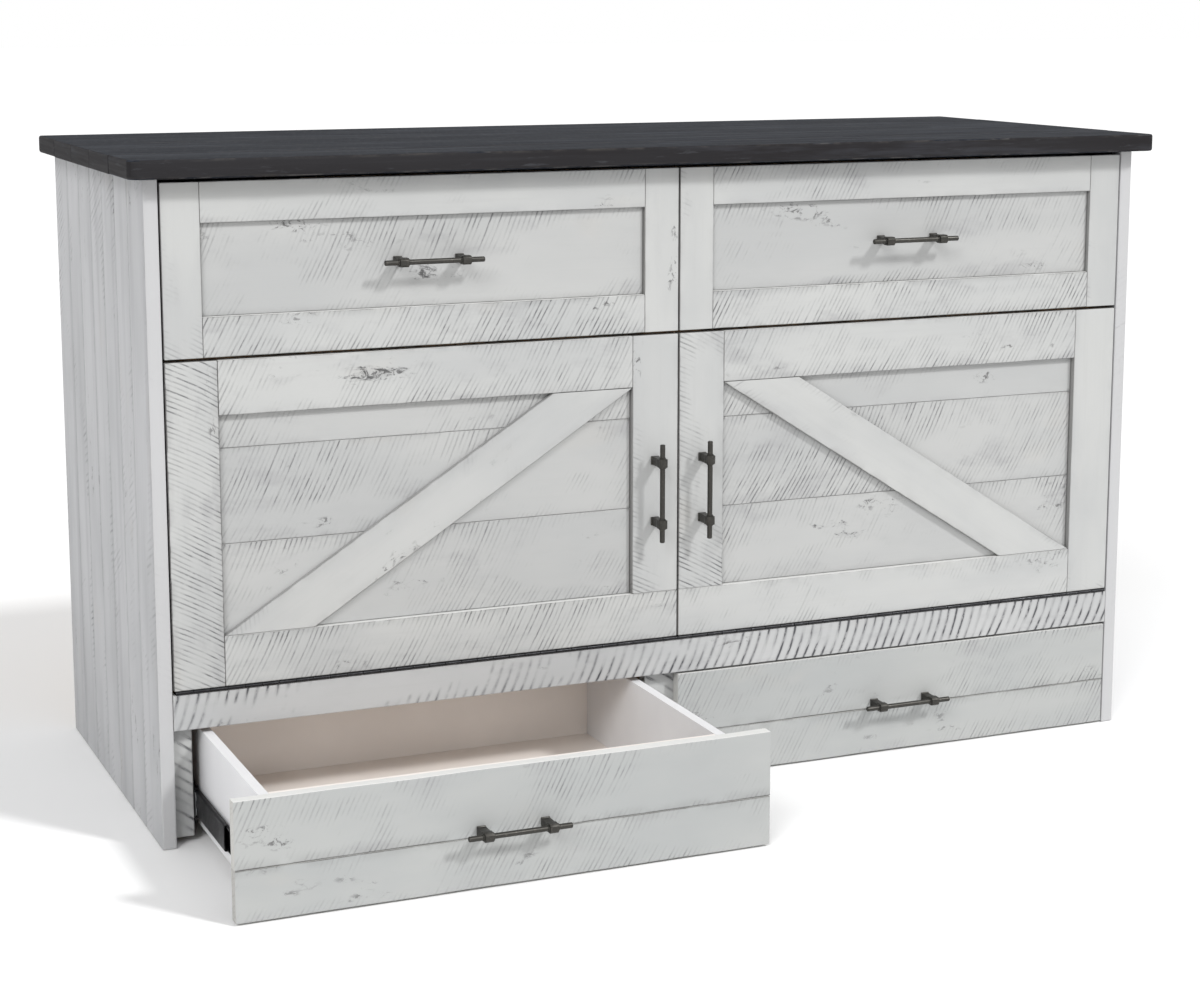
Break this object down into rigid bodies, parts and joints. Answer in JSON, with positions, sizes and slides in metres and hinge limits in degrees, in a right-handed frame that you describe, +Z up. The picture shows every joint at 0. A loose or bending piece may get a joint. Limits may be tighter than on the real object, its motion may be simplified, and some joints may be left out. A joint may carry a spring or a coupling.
{
  "type": "cabinet bed",
  "caption": "Whitewashed cabinet bed with a dark lid: its door front folds down on a long hinge and slides out into a bed platform, above pull-out drawers.",
  "frame": {"origin": "on the floor, under the middle of the bounding box, with the left drawer pulled out as it rests", "axes": "+Z up, the front faces -Y, +X to the right of a person facing the front"},
  "size_m": [1.7, 1.0264, 1.006],
  "materials": {
    "back_panel": "unfinished softwood and plywood",
    "centre_base_stile": "whitewashed rough-sawn pine, satin clear coat",
    "door_backing": "unfinished softwood and plywood",
    "drawer_divider": "unfinished softwood and plywood",
    "false_drawer_backing": "unfinished softwood and plywood",
    "fixed_slats": "unfinished softwood and plywood",
    "foot_leg_hinge": "black-coated steel",
    "front_hinge_lower_leaf": "black-coated steel",
    "front_hinge_upper_leaf": "black-coated steel",
    "head_deck": "unfinished softwood and plywood",
    "left_base_stile": "whitewashed rough-sawn pine, satin clear coat",
    "left_door_brace": "whitewashed rough-sawn pine, satin clear coat",
    "left_door_frame": "whitewashed rough-sawn pine, satin clear coat",
    "left_door_panel": "whitewashed rough-sawn pine, satin clear coat",
    "left_door_pull": "dark bronze, satin",
    "left_drawer_bottom": "white melamine-faced board",
    "left_drawer_box": "white melamine-faced board",
    "left_drawer_lower_plank": "whitewashed rough-sawn pine, satin clear coat",
    "left_drawer_pull": "dark bronze, satin",
    "left_drawer_upper_plank": "whitewashed rough-sawn pine, satin clear coat",
    "left_false_drawer_frame": "whitewashed rough-sawn pine, satin clear coat",
    "left_false_drawer_panel": "whitewashed rough-sawn pine, satin clear coat",
    "left_false_drawer_pull": "dark bronze, satin",
    "left_side": "whitewashed rough-sawn pine, satin clear coat",
    "left_slide_cleat": "unfinished softwood and plywood",
    "left_slide_inner_fixed": "black-coated steel",
    "left_slide_inner_middle": "black-coated steel",
    "left_slide_inner_moving": "black-coated steel",
    "left_slide_outer_fixed": "black-coated steel",
    "left_slide_outer_middle": "black-coated steel",
    "left_slide_outer_moving": "black-coated steel",
    "lid_hinge_lower_leaf": "black-coated steel",
    "lid_hinge_upper_leaf": "black-coated steel",
    "lower_rail": "whitewashed rough-sawn pine, satin clear coat",
    "mattress_foot": "knitted off-white cover on foam",
    "mattress_head": "knitted off-white cover on foam",
    "mattress_middle": "knitted off-white cover on foam",
    "right_base_stile": "whitewashed rough-sawn pine, satin clear coat",
    "right_door_brace": "whitewashed rough-sawn pine, satin clear coat",
    "right_door_frame": "whitewashed rough-sawn pine, satin clear coat",
    "right_door_panel": "whitewashed rough-sawn pine, satin clear coat",
    "right_door_pull": "dark bronze, satin",
    "right_drawer_bottom": "white melamine-faced board",
    "right_drawer_box": "white melamine-faced board",
    "right_drawer_lower_plank": "whitewashed rough-sawn pine, satin clear coat",
    "right_drawer_pull": "dark bronze, satin",
    "right_drawer_upper_plank": "whitewashed rough-sawn pine, satin clear coat",
    "right_false_drawer_frame": "whitewashed rough-sawn pine, satin clear coat",
    "right_false_drawer_panel": "whitewashed rough-sawn pine, satin clear coat",
    "right_false_drawer_pull": "dark bronze, satin",
    "right_side": "whitewashed rough-sawn pine, satin clear coat",
    "right_slide_cleat": "unfinished softwood and plywood",
    "right_slide_inner_fixed": "black-coated steel",
    "right_slide_inner_middle": "black-coated steel",
    "right_slide_inner_moving": "black-coated steel",
    "right_slide_outer_fixed": "black-coated steel",
    "right_slide_outer_middle": "black-coated steel",
    "right_slide_outer_moving": "black-coated steel",
    "sliding_slats": "unfinished softwood and plywood",
    "top": "charcoal-stained boards, satin"
  },
  "bodies": {
    "cabinet": {"back_panel": "back_panel", "centre_base_stile": "centre_base_stile", "drawer_divider": "drawer_divider", "front_hinge_lower_leaf": "front_hinge_lower_leaf", "head_deck": "head_deck", "left_base_stile": "left_base_stile", "left_side": "left_side", "left_slide_cleat": "left_slide_cleat", "left_slide_inner_fixed": "left_slide_inner_fixed", "left_slide_outer_fixed": "left_slide_outer_fixed", "lid_hinge_lower_leaf": "lid_hinge_lower_leaf", "lower_rail": "lower_rail", "right_base_stile": "right_base_stile", "right_side": "right_side", "right_slide_cleat": "right_slide_cleat", "right_slide_inner_fixed": "right_slide_inner_fixed", "right_slide_outer_fixed": "right_slide_outer_fixed"},
    "lid": {"top": "top", "lid_hinge_upper_leaf": "lid_hinge_upper_leaf"},
    "front": {"door_backing": "door_backing", "fixed_slats": "fixed_slats", "front_hinge_upper_leaf": "front_hinge_upper_leaf", "left_door_brace": "left_door_brace", "left_door_frame": "left_door_frame", "left_door_panel": "left_door_panel", "left_door_pull": "left_door_pull", "mattress_middle": "mattress_middle", "right_door_brace": "right_door_brace", "right_door_frame": "right_door_frame", "right_door_panel": "right_door_panel", "right_door_pull": "right_door_pull"},
    "foot_platform": {"sliding_slats": "sliding_slats", "foot_leg_hinge": "foot_leg_hinge"},
    "foot_leg": {"false_drawer_backing": "false_drawer_backing", "left_false_drawer_frame": "left_false_drawer_frame", "left_false_drawer_panel": "left_false_drawer_panel", "left_false_drawer_pull": "left_false_drawer_pull", "right_false_drawer_frame": "right_false_drawer_frame", "right_false_drawer_panel": "right_false_drawer_panel", "right_false_drawer_pull": "right_false_drawer_pull"},
    "foot_mattress": {"mattress_foot": "mattress_foot"},
    "head_mattress": {"mattress_head": "mattress_head"},
    "left_drawer": {"left_drawer_bottom": "left_drawer_bottom", "left_drawer_box": "left_drawer_box", "left_drawer_lower_plank": "left_drawer_lower_plank", "left_drawer_pull": "left_drawer_pull", "left_drawer_upper_plank": "left_drawer_upper_plank", "left_slide_inner_moving": "left_slide_inner_moving", "left_slide_outer_moving": "left_slide_outer_moving"},
    "left_slide_middles": {"left_slide_inner_middle": "left_slide_inner_middle", "left_slide_outer_middle": "left_slide_outer_middle"},
    "right_drawer": {"right_drawer_bottom": "right_drawer_bottom", "right_drawer_box": "right_drawer_box", "right_drawer_lower_plank": "right_drawer_lower_plank", "right_drawer_pull": "right_drawer_pull", "right_drawer_upper_plank": "right_drawer_upper_plank", "right_slide_inner_moving": "right_slide_inner_moving", "right_slide_outer_moving": "right_slide_outer_moving"},
    "right_slide_middles": {"right_slide_inner_middle": "right_slide_inner_middle", "right_slide_outer_middle": "right_slide_outer_middle"}
  },
  "joints": [
    {"name": "front_drop", "type": "hinge", "parent": "cabinet", "child": "front", "pos_m": [0, -0.14825, 0.234], "axis": [1, 0, 0], "range_deg": [0, 90]},
    {"name": "lid_lift", "type": "hinge", "parent": "cabinet", "child": "lid", "pos_m": [0, 0.51075, 0.978], "axis": [-1, 0, 0], "range_deg": [0, 100]},
    {"name": "foot_slide", "type": "slide", "parent": "front", "child": "foot_platform", "axis": [0, 0, 1], "range_m": [0, 0.62]},
    {"name": "foot_leg_turn", "type": "hinge", "parent": "foot_platform", "child": "foot_leg", "pos_m": [0, -0.12675, 0.9745], "axis": [-1, 0, 0], "range_deg": [0, 90]},
    {"name": "foot_mattress_unfold", "type": "hinge", "parent": "front", "child": "foot_mattress", "pos_m": [0, 0.0495, 0.9623], "axis": [1, 0, 0], "range_deg": [0, 180], "deforming": ["mattress_foot"]},
    {"name": "head_mattress_lay", "type": "hinge", "parent": "cabinet", "child": "head_mattress", "pos_m": [0, 0.40775, 0.3513], "axis": [1, 0, 0], "range_deg": [0, 90], "deforming": ["mattress_head"]},
    {"name": "left_drawer_slide", "type": "slide", "parent": "cabinet", "child": "left_drawer", "axis": [0, -1, 0], "range_m": [-0.328, 0.1]},
    {"name": "left_slide_travel", "type": "slide", "parent": "cabinet", "child": "left_slide_middles", "axis": [0, -1, 0], "range_m": [-0.164, 0.05]},
    {"name": "right_drawer_slide", "type": "slide", "parent": "cabinet", "child": "right_drawer", "axis": [0, -1, 0], "range_m": [0, 0.428]},
    {"name": "right_slide_travel", "type": "slide", "parent": "cabinet", "child": "right_slide_middles", "axis": [0, -1, 0], "range_m": [0, 0.214]}
  ],
  "couplings": [
    {"joint": "lid_lift", "follows": "front_drop", "ratio": 1.1},
    {"joint": "foot_slide", "follows": "front_drop", "m_per_rad": 0.3947},
    {"joint": "foot_leg_turn", "follows": "front_drop", "ratio": 1},
    {"joint": "foot_mattress_unfold", "follows": "front_drop", "ratio": 2},
    {"joint": "head_mattress_lay", "follows": "front_drop", "ratio": 1},
    {"joint": "left_slide_travel", "follows": "left_drawer_slide", "ratio": 0.5},
    {"joint": "right_slide_travel", "follows": "right_drawer_slide", "ratio": 0.5}
  ]
}
